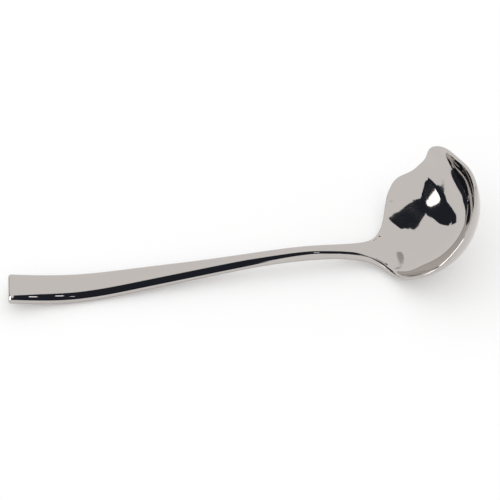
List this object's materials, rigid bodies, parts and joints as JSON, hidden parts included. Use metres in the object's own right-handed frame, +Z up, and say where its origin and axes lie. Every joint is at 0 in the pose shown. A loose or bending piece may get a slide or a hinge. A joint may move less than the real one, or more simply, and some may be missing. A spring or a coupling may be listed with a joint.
{
  "type": "sauce spoon",
  "caption": "One-piece steel sauce spoon with a slim handle and a round bowl that is tipped back and has a pouring lip on its left side.",
  "frame": {"origin": "on the table, under the middle of the spoon's bounding box as it lies at rest", "axes": "+X along the handle towards the bowl, +Y to the side of the pouring lip, +Z up"},
  "size_m": [0.18, 0.0602, 0.0359],
  "materials": {
    "polished_steel": "mirror-polished stainless steel"
  },
  "bodies": {
    "root": {"sauce_spoon": "polished_steel"}
  },
  "joints": []
}
